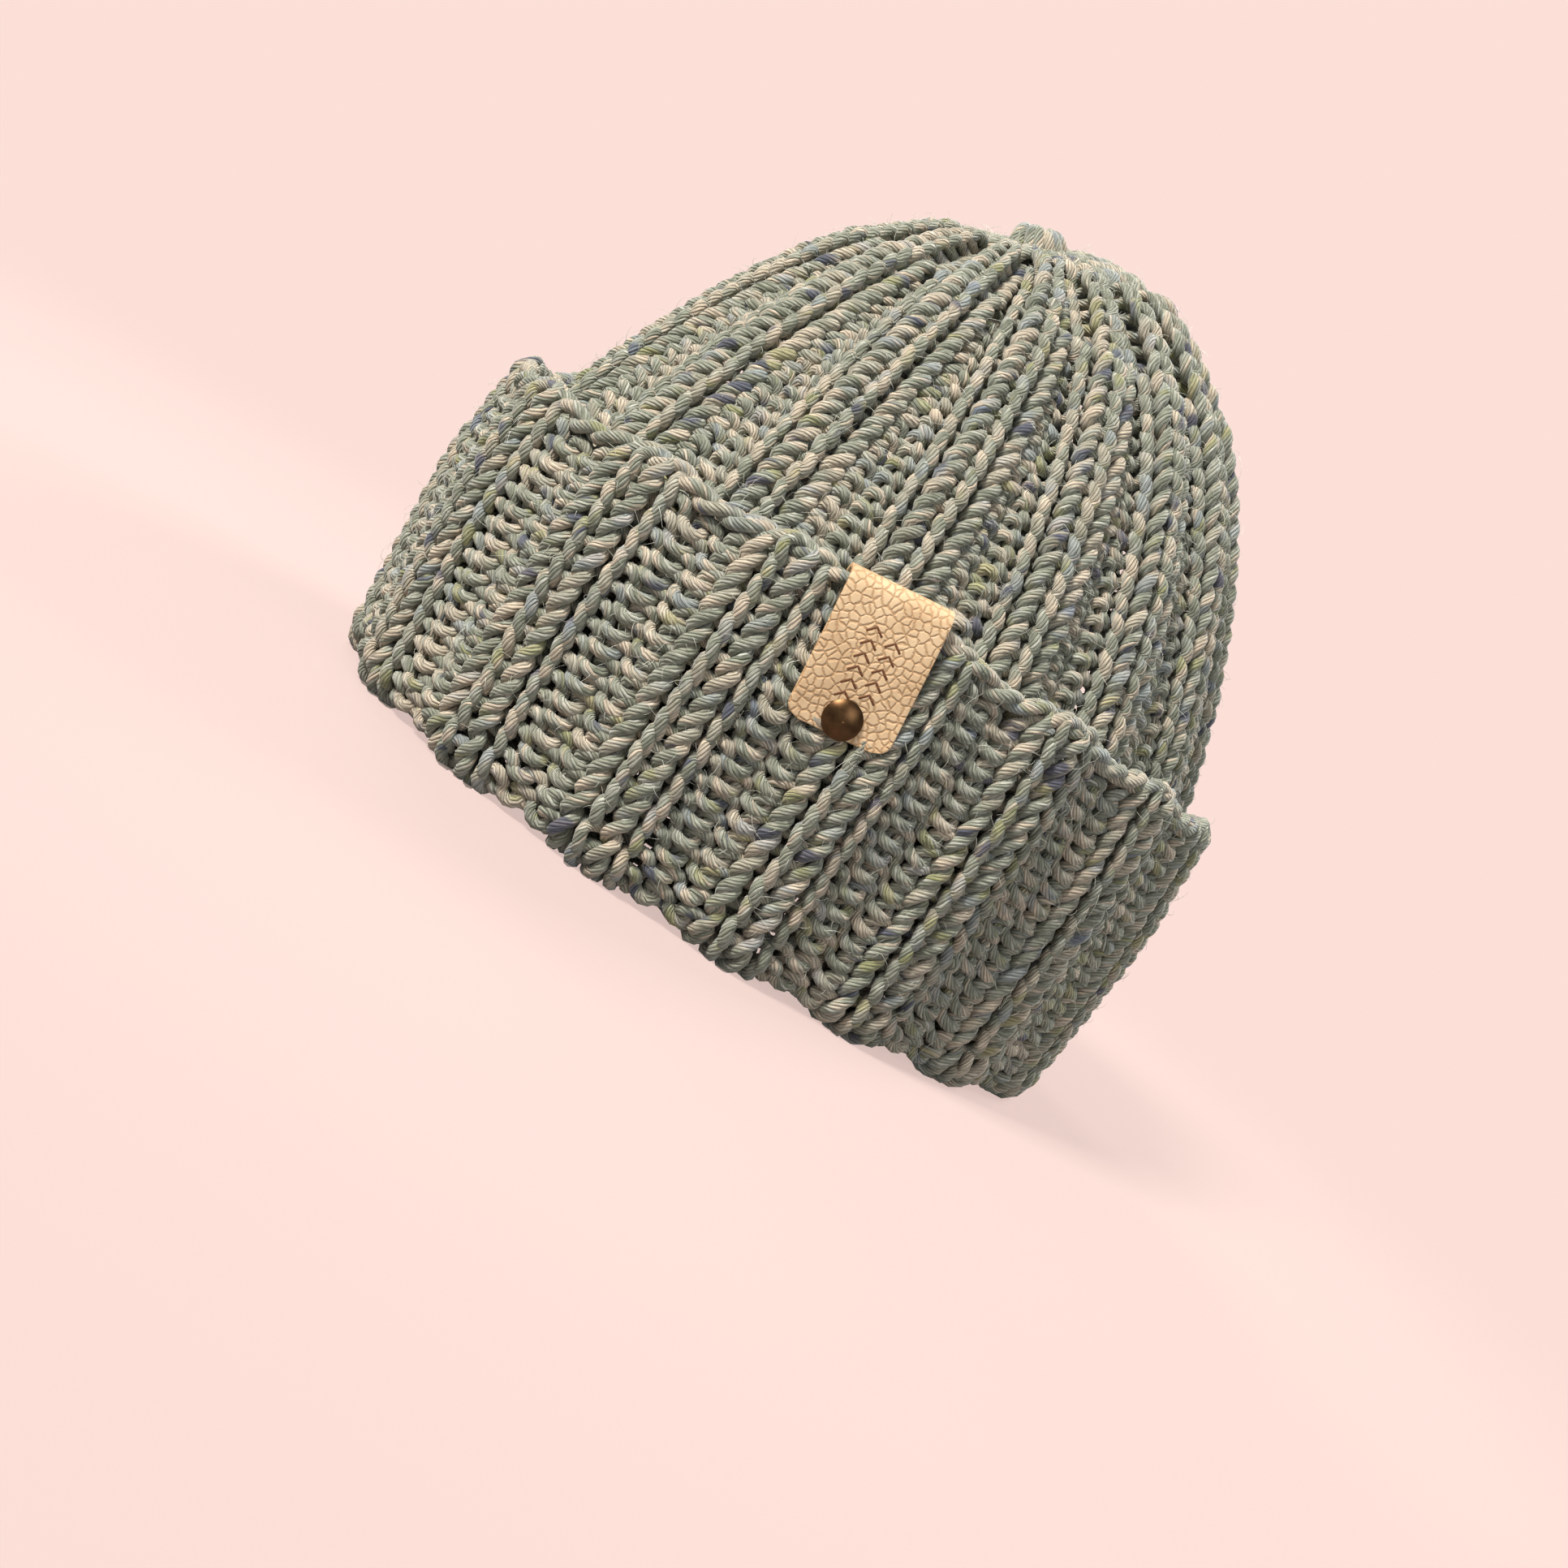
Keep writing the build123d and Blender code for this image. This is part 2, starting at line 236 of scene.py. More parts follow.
def rowWales(v):
    # the wales of one row as (start, end, side): side 1 is knit towards the crown's outside
    wide = unitLength(v)
    share = float(np.interp(v, profileLength, profileShare))
    grow = float(smooth((v + rollLength) / (rollLength + fabric["widenRise"])))
    rib = fabric["ribShareCuff"] + (fabric["ribShareCrown"] - fabric["ribShareCuff"]) * grow
    middle = rib / 2
    valley = 1 - rib
    if v > crownStart:
        left = (share - fabric["valleyEnd"]) / (1 - fabric["valleyEnd"])
        valley = max(0.0, (1 - fabric["ribShareCrown"]) * left)
        rib = 1 - valley
    purls = 2 if valley * wide >= fabric["twoPurls"] else 1 if valley * wide >= fabric["onePurl"] else 0
    knits = 2 if wide >= fabric["twoKnits"] else 1
    wales = []
    for unit in range(units):
        start = unit + middle - rib / 2
        edges = np.linspace(start, start + rib, knits + 1)
        wales += [(a, b, 1) for a, b in zip(edges[:-1], edges[1:])]
        if purls:
            edges = np.linspace(start + rib, start + 1, purls + 1)
            wales += [(a, b, -1) for a, b in zip(edges[:-1], edges[1:])]
    return wales


def ripple(g, waves, size):
    # a smooth wander that closes on itself round the hat
    total = np.zeros_like(g)
    for wave in waves:
        total += np.sin(2 * math.pi * (wave * g / units + dice.random()))
    return total * size / math.sqrt(len(waves))


def underTag(g, v):
    # the knit is pressed flat where the tag is riveted on
    place = np.exp(-(((g - tagPlace["g"]) / tagPlace["reach"]) ** 4))
    return place * smooth((tagPlace["v"] - v) / tagPlace["fade"])


tagPlace = {"g": 0.36, "v": -rollLength - 38, "reach": 0.42, "fade": 6}


def edgeWave(g):
    # the cuff's edge is high at each rib and dips between them
    return fabric["edgeWave"] * np.cos(2 * math.pi * (g - (1 + fabric["ribShareCuff"]) / 2))


def rowPath(v):
    # the yarn of one whole row: points, surface normals and yarn radius
    wales = rowWales(v)
    steps = stitch["steps"]
    start = np.array([w[0] for w in wales])
    width = np.array([w[1] - w[0] for w in wales])
    side = np.array([w[2] for w in wales], float)
    t = np.tile(np.linspace(0, 2 * math.pi, steps, endpoint=False), len(wales))
    wale = np.repeat(np.arange(len(wales)), steps)
    wide = width[wale] * unitLength(v)
    # side fades through nothing where a knit wale meets a purl one
    before = side[wale - 1]
    after = side[(wale + 1) % len(wales)]
    here = side[wale]
    share = t / (2 * math.pi)
    facing = here.copy()
    fade = stitch["fade"]
    left = (share < fade) & (before != here)
    facing = np.where(left, here * smooth(share / fade), facing)
    right = (share > 1 - fade) & (after != here)
    facing = np.where(right, here * smooth((1 - share) / fade), facing)
    g = start[wale] + width[wale] * share
    rise = -stitch["height"] / 2 * np.cos(t)
    swing = stitch["swing"] * wide * np.sin(2 * t)
    skew = facing * stitch["skew"] * rise * np.minimum(1, wide / stitch["skewWidth"])
    near = underTag(g, v)
    depth = stitch["depth"] * (1 - stitch["pressed"] * near)
    out = facing * (-depth * np.cos(2 * t) - stitch["shingle"] * rise)
    # relief: ribs stand out, valleys lie back
    sameBefore = np.where(before == here, 1.0, 0.0)
    sameAfter = np.where(after == here, 1.0, 0.0)
    rising = np.maximum(sameBefore, smooth(share / 0.5))
    falling = np.maximum(sameAfter, smooth((1 - share) / 0.5))
    bulge = np.where(share < 0.5, rising, falling)
    crownShare = float(np.interp(v, profileLength, profileShare))
    (pleatStart, easeIn), (pleatEnd, easeOut) = fabric["pleatFrom"], fabric["pleatTo"]
    drawn = smooth((pleatStart - crownShare) / easeIn) * smooth((crownShare - pleatEnd) / easeOut)
    pleat = fabric["relief"] + fabric["crownPleat"] * drawn
    if all(w[2] == 1 for w in wales):
        # no valley left: the furrow between ribs stays
        place = (g - fabric["ribShareCrown"] / 2) % 1.0
        out = out + pleat * (np.cos(2 * math.pi * place) * fabric["pleatWave"])
    else:
        dip = fabric["borderDip"]
        out = out + pleat * (1 - near) * here * (bulge * (1 + dip) - dip)
    waves = stitch["waves"]
    wanderAlong, wanderUp, wanderOut = stitch["wander"]
    g = g + (swing + skew + ripple(g, waves, wanderAlong)) / unitLength(v)
    nearEdge = smooth((-v - rollLength - fabric["waveStart"]) / fabric["waveRise"])
    high = v + rise + ripple(g, waves, wanderUp) - edgeWave(g) * nearEdge
    out = out + ripple(g, waves, wanderOut)
    normal = fabricNormal(g, high)
    points = fabricMiddle(g, high) + normal * out[:, None]
    # drawn-in loops are pulled thinner
    slack = np.clip(stitch["thinnest"][0] + wide / stitch["fullWidth"], stitch["thinnest"][1], 1.0)
    size = stitch["radius"] * slack * (1 + ripple(g, waves, stitch["uneven"]))
    return points, normal, size, wales


print("fabric surface ready, round the hinge", round(hingeRound, 1))


def tube(points, normals, radii, along, sides, closed):
    # a skin round a line of points: vertices, quads, triangles and each corner's place on the yarn
    count = len(points)
    if closed:
        ahead = np.roll(points, -1, 0) - np.roll(points, 1, 0)
    else:
        ahead = np.gradient(points, axis=0)
    ahead /= np.linalg.norm(ahead, axis=1, keepdims=True)
    across = np.cross(ahead, normals)
    across /= np.linalg.norm(across, axis=1, keepdims=True)
    over = np.cross(across, ahead)
    angle = np.arange(sides) * 2 * math.pi / sides
    ring = np.cos(angle)[None, :, None] * across[:, None] + np.sin(angle)[None, :, None] * over[:, None]
    vertices = (points[:, None] + ring * radii[:, None, None]).reshape(-1, 3)
    rings = count if closed else count - 1
    i = np.arange(rings)[:, None]
    j = np.arange(sides)[None, :]
    nextRing = (i + 1) % count
    nextSide = (j + 1) % sides
    quads = np.stack(
        [nextRing * sides + j, nextRing * sides + nextSide, i * sides + nextSide, i * sides + j], -1
    ).reshape(-1, 4)
    u0 = along[:rings][:, None] + 0.0 * j
    u1 = along[1:rings + 1][:, None] + 0.0 * j
    v0 = j / sides + 0.0 * i
    v1 = (j + 1) / sides + 0.0 * i
    places = [(u1, v0), (u1, v1), (u0, v1), (u0, v0)]
    corners = np.stack([np.stack(place, -1) for place in places], 2).reshape(-1, 4, 2)
    triangles = np.zeros((0, 3), int)
    triangleCorners = np.zeros((0, 3, 2))
    if not closed:
        # both ends close on a middle point that stands out by half the radius
        stand = 0.5
        first = points[0] - ahead[0] * radii[0] * stand
        last = points[-1] + ahead[-1] * radii[-1] * stand
        vertices = np.concatenate([vertices, [first, last]])
        j = np.arange(sides)
        a = np.stack([j, (j + 1) % sides, np.full(sides, count * sides)], -1)
        b = np.stack([(j + 1) % sides, j, np.full(sides, count * sides + 1)], -1)
        b[:, :2] += (count - 1) * sides
        triangles = np.concatenate([a, b])
        v = np.stack([j / sides, (j + 1) / sides, (j + 0.5) / sides], -1)
        low = np.stack([np.full((sides, 3), along[0]), v], -1)
        high = np.stack([np.full((sides, 3), along[-1]), v[:, [1, 0, 2]]], -1)
        triangleCorners = np.concatenate([low, high])
    return vertices, quads, corners, triangles, triangleCorners


def meshOf(name, tubes, material):
    # joins skins into one mesh object, with its yarn map
    vertices, quads, quadCorners, triangles, triangleCorners = [], [], [], [], []
    start = 0
    for skin in tubes:
        vertices.append(skin[0])
        quads.append(skin[1] + start)
        quadCorners.append(skin[2])
        triangles.append(skin[3] + start)
        triangleCorners.append(skin[4])
        start += len(skin[0])
    vertices = np.concatenate(vertices) * mm
    quads = np.concatenate(quads)
    triangles = np.concatenate(triangles)
    corners = np.concatenate([np.concatenate(part).reshape(-1, 2) for part in (quadCorners, triangleCorners)])
    mesh = bpy.data.meshes.new(name)
    mesh.vertices.add(len(vertices))
    mesh.vertices.foreach_set("co", vertices.astype(np.float32).ravel())
    loops = np.concatenate([quads.ravel(), triangles.ravel()]).astype(np.int32)
    mesh.loops.add(len(loops))
    mesh.loops.foreach_set("vertex_index", loops)
    starts = np.concatenate([np.arange(len(quads)) * 4, len(quads) * 4 + np.arange(len(triangles)) * 3])
    mesh.polygons.add(len(starts))
    mesh.polygons.foreach_set("loop_start", starts.astype(np.int32))
    mesh.update(calc_edges=True)
    layer = mesh.uv_layers.new(name="yarn")
    layer.data.foreach_set("uv", corners.astype(np.float32).ravel())
    mesh.polygons.foreach_set("use_smooth", np.ones(len(starts), bool))
    mesh.validate()
    piece = bpy.data.objects.new(name, mesh)
    bpy.context.scene.collection.objects.link(piece)
    mesh.materials.append(material)
    return piece


def walked(points, closed, start=0.0):
    end = points[:1] if closed else points[-1:]
    step = np.linalg.norm(np.diff(points, axis=0, append=end), axis=1)
    total = np.concatenate([[0], np.cumsum(step)])
    return start + (total if closed else total[:-1])


fuzz = {
    "perMetre": 190,
    "radius": 0.055,
    "tip": 0.4,  # share of the radius left at the end
    "length": (2.5, 6.5),
    "points": 5,
    "sides": 3,
    "root": 0.8,  # where it leaves the yarn, as a share of the yarn's radius
    "spread": 0.9,  # how far round the yarn from its outer side
    "stand": 0.7,  # out of the yarn, falling back by droop
    "droop": 0.75,
    "lean": 0.8,
    "curl": 0.8,
}


def hairs(points, normals, radii, along, count):
    # stray fibres that leave the yarn and curl over its surface
    skins = []
    for _ in range(count):
        i = int(dice.integers(1, len(points) - 1))
        ahead = points[i + 1] - points[i - 1]
        ahead /= np.linalg.norm(ahead)
        side = np.cross(ahead, normals[i])
        turn = dice.normal(0, fuzz["spread"])
        out = normals[i] * math.cos(turn) + side * math.sin(turn)
        length = dice.uniform(*fuzz["length"])
        t = np.linspace(0, 1, fuzz["points"])[:, None]
        lean = ahead * dice.uniform(-1, 1) + side * dice.uniform(-1, 1)
        curl = np.cross(out, lean) * dice.uniform(-fuzz["curl"], fuzz["curl"])
        stand = out * fuzz["stand"] * (t - fuzz["droop"] * t * t)
        line = points[i] + out * radii[i] * fuzz["root"] + length * (stand + lean * fuzz["lean"] * t + curl * t * t)
        normal = np.tile(np.cross(lean, curl + 0.01), (len(line), 1)) + 1e-4
        radius = np.linspace(1, fuzz["tip"], len(line)) * fuzz["radius"]
        skins.append(tube(line, normal, radius, np.full(len(line), along[i]), fuzz["sides"], False))
    return skins


def hairCount(along):
    return int((along[-1] - along[0]) * mm * fuzz["perMetre"])


# Materials

def newMaterial(name):
    material = bpy.data.materials.new(name)
    material.use_nodes = True
    tree = material.node_tree
    return material, tree, tree.nodes["Principled BSDF"]


def setInputs(made, settings):
    for socket, value in settings.items():
        made.inputs[socket].default_value = value


def node(tree, kind, **values):
    made = tree.nodes.new(kind)
    for key, value in values.items():
        setattr(made, key, value)
    return made


def math2(tree, operation, a, b=None, c=None):
    made = tree.nodes.new("ShaderNodeMath")
    made.operation = operation
    for socket, value in zip(made.inputs, (a, b, c)):
        if value is None:
            continue
        if hasattr(value, "is_linked"):
            tree.links.new(value, socket)
        else:
            socket.default_value = value
    return made.outputs[0]


def ramp(tree, value, stops):
    made = tree.nodes.new("ShaderNodeValToRGB")
    made.color_ramp.interpolation = "LINEAR"
    elements = made.color_ramp.elements
    while len(elements) < len(stops):
        elements.new(0.5)
    for element, (place, colour) in zip(elements, stops):
        element.position = place
        element.color = (*[srgb(c) for c in colour], 1)
    tree.links.new(value, made.inputs[0])
    return made.outputs[0]


def srgb(c):
    c = c / 255
    return c / 12.92 if c <= 0.04045 else ((c + 0.055) / 1.055) ** 2.4


def mixColour(tree, share, a, b, blend="MIX"):
    made = tree.nodes.new("ShaderNodeMix")
    made.data_type = "RGBA"
    made.blend_type = blend
    for socket, value in ((made.inputs[0], share), (made.inputs[6], a), (made.inputs[7], b)):
        if hasattr(value, "is_linked"):
            tree.links.new(value, socket)
        elif isinstance(value, tuple):
            socket.default_value = (*[srgb(c) for c in value], 1)
        else:
            socket.default_value = value
    return made.outputs[2]


def noise1(tree, x, y, scale, detail=2.0, rough=0.5):
    # noise read along the yarn: x is the length along it, y tells strands apart
    place = tree.nodes.new("ShaderNodeCombineXYZ")
    for socket, value in zip(place.inputs, (x, y, 0.0)):
        if hasattr(value, "is_linked"):
            tree.links.new(value, socket)
        else:
            socket.default_value = value
    made = tree.nodes.new("ShaderNodeTexNoise")
    made.noise_dimensions = "2D"
    made.inputs["Scale"].default_value = scale
    made.inputs["Detail"].default_value = detail
    made.inputs["Roughness"].default_value = rough
    tree.links.new(place.outputs[0], made.inputs["Vector"])
    return made.outputs["Fac"]


def speckle(tree, place, scale, detail=2.0, dimensions="2D"):
    made = node(tree, "ShaderNodeTexNoise", noise_dimensions=dimensions)
    made.inputs["Scale"].default_value = scale
    made.inputs["Detail"].default_value = detail
    tree.links.new(place, made.inputs["Vector"])
    return made


def bumpy(tree, shader, height, strength, depth):
    bump = node(tree, "ShaderNodeBump")
    bump.inputs["Strength"].default_value = strength
    bump.inputs["Distance"].default_value = depth * mm
    tree.links.new(height, bump.inputs["Height"])
    tree.links.new(bump.outputs[0], shader.inputs["Normal"])


yarnLook = {
    "plies": 9,
    "turn": 0.1,  # turns of the plies for each millimetre of yarn
    "wholeTurns": 10000,  # added to the turns, so that the ply's number stays above nothing
    "sage": [(0.25, (122, 126, 106)), (0.5, (166, 168, 149)), (0.75, (212, 211, 196))],
    "peach": (238, 216, 190),
    "olive": (172, 170, 104),
    "navy": (72, 76, 106),
    "mist": (172, 182, 190),
    # colour of the painted shade in the grooves between plies
    "plyGrooveShade": (70, 70, 56),
    "plyGrooveShadeShare": (165, 0.55),  # painted shade in the grooves between plies: its strength at the bottom, and how far up a ply it reaches
    # noise settings are scale, detail and roughness
    "drift": (0.16, 3.0, 0.6),
    "driftStep": 7.31,  # tells one ply's noise from the next
    # flecks of other fibres over the sage: colour, strength, their edges in the noise, the noise,
    # and where each ply reads it (step from ply to ply, start)
    "flecks": [
        ("peach", 225, (0.57, 0.66), (0.085, 1.0, 0.4), (3.17, 0.0)),
        ("peach", 205, (0.54, 0.68), (0.05, 2.0, 0.5), (0.0, 31.7)),
        ("olive", 200, (0.66, 0.72), (0.075, 1.0, 0.4), (1.3, 77.0)),
        ("navy", 235, (0.69, 0.74), (0.07, 1.0, 0.4), (0.9, 153.0)),
        ("mist", 190, (0.64, 0.72), (0.07, 1.0, 0.4), (1.1, 211.0)),
    ],
    "fibre": (1.0, 3.0, 0.7),
    "fibreStretch": (0.35, 30.0),  # along the yarn and round it
    "fibreTones": [(0.3, (150, 150, 148)), (0.7, (255, 255, 255))],
    "plyRound": 0.6,  # the power that rounds a ply's back, and the fibres' share of its height
    "fibreHeight": 0.35,
    "bump": (0.9, 0.35),
    "surface": {
        "Roughness": 0.86,
        "Specular IOR Level": 0.25,
        "Sheen Weight": 0.35,
        "Sheen Roughness": 0.5,
        "Sheen Tint": (0.85, 0.84, 0.78, 1),
    },
}


def yarnMaterial(name, look):
    material, tree, shader = newMaterial(name)
    place = node(tree, "ShaderNodeUVMap", uv_map="yarn")
    split = node(tree, "ShaderNodeSeparateXYZ")
    tree.links.new(place.outputs[0], split.inputs[0])
    along, around = split.outputs[0], split.outputs[1]
    # plies wind round the yarn, each with fine fibres of its own
    plies = float(look["plies"])
    wound = math2(tree, "ADD", around, math2(tree, "MULTIPLY", along, look["turn"]))
    phase = math2(tree, "MULTIPLY", wound, plies)
    ply = math2(tree, "ADD", math2(tree, "FLOOR", phase), look["wholeTurns"] * plies)
    ply = math2(tree, "MODULO", ply, plies)
    crest = math2(tree, "SINE", math2(tree, "MULTIPLY", math2(tree, "FRACT", phase), math.pi))
    # colour of each ply drifts along the yarn
    drift = noise1(tree, along, math2(tree, "MULTIPLY", ply, look["driftStep"]), *look["drift"])
    colour = ramp(tree, drift, look["sage"])
    for tint, strength, (low, high), settings, (step, start) in look["flecks"]:
        strand = math2(tree, "ADD", math2(tree, "MULTIPLY", ply, step), start)
        fleck = noise1(tree, along, strand, *settings)
        share = ramp(tree, fleck, [(low, (0, 0, 0)), (high, (strength,) * 3)])
        colour = mixColour(tree, share, colour, look[tint])
    # fibres: fine streaks that follow the plies
    stretch, wind = look["fibreStretch"]
    fibreAlong = math2(tree, "MULTIPLY", along, stretch)
    fibre = noise1(tree, fibreAlong, math2(tree, "MULTIPLY", wound, wind), *look["fibre"])
    colour = mixColour(tree, 1.0, colour, ramp(tree, fibre, look["fibreTones"]), "MULTIPLY")
    # painted shade: the colour darkens towards the bottom of each groove between plies
    depth, reach = look["plyGrooveShadeShare"]
    plyGrooveShade = ramp(tree, crest, [(0.0, (depth,) * 3), (reach, (0, 0, 0))])
    colour = mixColour(tree, plyGrooveShade, colour, look["plyGrooveShade"])
    tree.links.new(colour, shader.inputs["Base Color"])
    rounded = math2(tree, "POWER", crest, look["plyRound"])
    height = math2(tree, "ADD", rounded, math2(tree, "MULTIPLY", fibre, look["fibreHeight"]))
    bumpy(tree, shader, height, *look["bump"])
    setInputs(shader, look["surface"])
    return material


fuzzLook = {
    "scale": 0.4,
    "tones": [(0.35, (176, 178, 160)), (0.65, (226, 222, 206))],
    "surface": {"Roughness": 0.7, "Sheen Weight": 0.5},
}


def fuzzMaterial():
    material, tree, shader = newMaterial("yarnFuzz")
    place = node(tree, "ShaderNodeUVMap", uv_map="yarn")
    tone = speckle(tree, place.outputs[0], fuzzLook["scale"])
    tree.links.new(ramp(tree, tone.outputs["Fac"], fuzzLook["tones"]), shader.inputs["Base Color"])
    setInputs(shader, fuzzLook["surface"])
    return material


tweed = yarnMaterial("tweedYarn", yarnLook)
hairLook = fuzzMaterial()
cuffYarn = yarnMaterial("cuffYarn", yarnLook)
print("yarn materials ready")


# Rows of knitting, from the cast-on edge round the roll and up to the crown

castOn = -rollLength - (cuffTop - hingeHeight)
rows = []
v = castOn + fabric["firstRow"]
cuffRows = round((-rollLength - fabric["countGap"] - v) / fabric["rowPitch"]) + 1
cuffPitch = (-rollLength - fabric["foldGap"] - v) / (cuffRows - 1)
for number in range(cuffRows):
    rows.append(("cuff", v + number * cuffPitch))
for number in range(fabric["hemRows"]):
    rows.append(("hem", -rollLength + number * rollLength / (fabric["hemRows"] - 1)))
v = fabric["foldGap"]
while np.interp(v, profileLength, profileShare) > fabric["closeShare"]:
    rows.append(("wall" if v < crownStart - hingeHeight else "crown", v))
    v += fabric["rowPitch"]
crownEnd = v

made = []
yarnStart = 0.0
for number, (zone, v) in enumerate(rows):
    points, normal, size, wales = rowPath(v)
    along = walked(points, True, yarnStart)
    yarnStart = along[-1]
    made.append((zone, v, points, normal, size, along))
print("rows", len(rows), "yarn metres", round(yarnStart * mm, 1))

panelSteps = stitch["steps"] * 4
cuffPieces, hemPieces, cuffHairs = [], [], []
for unit, joint in enumerate(joints):
    cuffTubes, hemTubes, hairTubes = [], [], []
    for zone, v, points, normal, size, along in made:
        if zone not in ("cuff", "hem"):
            continue
        span = np.arange(unit * panelSteps, (unit + 1) * panelSteps + 1)
        ring = span % len(points)
        reach = along[span]
        skin = tube(points[ring], normal[ring], size[ring], reach, stitch["sides"], False)
        (cuffTubes if zone == "cuff" else hemTubes).append(skin)
        if zone == "cuff":
            hairTubes += hairs(points[ring], -normal[ring], size[ring], reach, hairCount(reach))
    cuffPieces.append(cuffTubes)
    hemPieces.append(hemTubes)
    cuffHairs.append(hairTubes)

# Cast-on edge: two strands twisted along the top of the cuff
edgeLook = {
    "twistRadius": 1.2,
    "strand": 1.55,
    "turnsPerUnit": 2.5,
    "steps": 60,
    "below": 2.6,  # the edge of the cuff
    "seat": 0.2,
    "wander": ([3, 7, 16, 29, 48], 0.5),
    "uneven": ([5, 11, 37], 0.04),
}
g = np.arange(units * edgeLook["steps"]) / edgeLook["steps"]
for strand in (0, 1):
    twist = 2 * math.pi * g * edgeLook["turnsPerUnit"] + strand * math.pi
    high = castOn + edgeLook["below"] + edgeLook["twistRadius"] * np.sin(twist)
    high = high + ripple(g, *edgeLook["wander"]) - edgeWave(g)
    normal = fabricNormal(g, high)
    out = edgeLook["twistRadius"] * np.cos(twist) - edgeLook["seat"]
    points = fabricMiddle(g, high) + normal * out[:, None]
    radii = edgeLook["strand"] * (1 + ripple(g, *edgeLook["uneven"]))
    along = walked(points, True, yarnStart)
    yarnStart = along[-1]
    for unit in range(units):
        span = np.arange(unit * edgeLook["steps"], (unit + 1) * edgeLook["steps"] + 1)
        ring = span % len(points)
        cuffPieces[unit].append(tube(points[ring], normal[ring], radii[ring], along[span], stitch["sides"], False))

for unit, joint in enumerate(joints):
    label = f"{unit + 1:02d}"
    axis = Vector(joint["axis"])
    cuffPiece = meshOf("cuffKnit" + label, cuffPieces[unit], cuffYarn)
    cuffPieces[unit] = cuffPiece
    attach(cuffPiece, joint["child"])
    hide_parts("cuff_panel_" + label)
    hairPiece = meshOf("cuffFuzz" + label, cuffHairs[unit], hairLook)
    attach(hairPiece, joint["child"])
    # the ring of knit is shorter on the inside; the panel's edges at the fold and round the roll are found here but
    # not used
    edges = fabricMiddle(np.array([unit, unit + 1.0]), np.array([0.0, 0.0]))
    wideEdges = fabricMiddle(np.array([unit, unit + 1.0]), np.array([-rollLength, -rollLength]))
    for piece in (cuffPiece, hairPiece):
        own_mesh(piece)
    hemPiece = meshOf("hemKnit" + label, hemPieces[unit], cuffYarn)
    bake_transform(hemPiece)
    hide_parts("fold_hem")
print("cuff and hem ready")

# Inner wall and crown: closed rings of yarn, in pieces of a few rows
groups = {}
crownHairs = {}
for zone, v, points, normal, size, along in made:
    if zone in ("wall", "crown"):
        zoneStart = 0 if zone == "wall" else crownStart - hingeHeight
        key = (zone, int((v - zoneStart) // fabric["pieceHeight"]))
        groups.setdefault(key, []).append(tube(points, normal, size, along, stitch["sides"], True))
        if zone == "crown":
            crownHairs.setdefault(key[1], []).extend(hairs(points, normal, size, along, hairCount(along)))
for (zone, part), skins in groups.items():
    piece = meshOf(f"{zone}Knit{part + 1}", skins, tweed)
    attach(piece, "hat_body")
    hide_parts(*(["inner_band"] if zone == "wall" else ["crown_wall", "crown_shoulder", "crown_top"]))
for part, skins in crownHairs.items():
    piece = meshOf(f"crownFuzz{part + 1}", skins, hairLook)
    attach(piece, "hat_body")
print("body knit ready", len(groups), "pieces")

# Gathered top: the last stitches drawn together, each a short strand bent over the ring
gather = {
    "strands": 14,
    "steps": 12,
    "inner": 1.8,
    "outer": 6.4,
    "rise": 6.6,
    "riseSpread": (0.85, 0.3),  # share of the rise that every strand has, and what chance adds
    "scatter": 0.3,  # of the gap between strands
    "swirl": 0.5,
    "arch": (0.25, 0.75),  # parts of half a turn: where the strand starts, and how far it goes
    "drop": 7.2,  # its inner end runs down into the hole
    "slope": 1.2,
    "strand": 1.5,
    "yarnGap": 40,
}
lastRing = fabricMiddle(np.arange(units) + 0.0, np.full(units, crownEnd))
topMiddle = lastRing.mean(0)
quarter = units // 4
topUp = np.cross(lastRing[quarter] - lastRing[0], lastRing[2 * quarter] - lastRing[quarter])
topUp /= np.linalg.norm(topUp)
topRight = np.array([1.0, 0.0, 0.0])
topBack = np.cross(topUp, topRight)


def onTop(x, y, z):
    # a place measured from the middle of the gathered top, square to the slope there
    return topMiddle + x[:, None] * topRight + y[:, None] * topBack + z[:, None] * topUp


skins = []
for strand in range(gather["strands"]):
    angle = 2 * math.pi * (strand + gather["scatter"] * dice.random()) / gather["strands"]
    t = np.linspace(0, 1, gather["steps"])
    least, chance = gather["riseSpread"]
    archStart, archTurn = gather["arch"]
    rise = gather["rise"] * (least + chance * dice.random())
    radius = gather["inner"] + (gather["outer"] - gather["inner"]) * smooth(t)
    height = rise * np.sin(math.pi * (archStart + archTurn * t))
    height = height - gather["drop"] * (1 - t) ** 3 - gather["slope"] * t
    turn = angle + gather["swirl"] * t
    points = onTop(radius * np.cos(turn), radius * np.sin(turn), height)
    side = onTop(-np.sin(turn), np.cos(turn), 0.0 * turn) - topMiddle
    normal = np.cross(side, np.gradient(points, axis=0))
    normal /= np.linalg.norm(normal, axis=1, keepdims=True)
    along = walked(points, False, yarnStart)
    yarnStart = along[-1] + gather["yarnGap"]
    skins.append(tube(points, normal, np.full(len(t), gather["strand"]), along, stitch["sides"], False))
gatherPiece = meshOf("crownGather", skins, tweed)
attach(gatherPiece, "hat_body")
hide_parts("crown_gather")

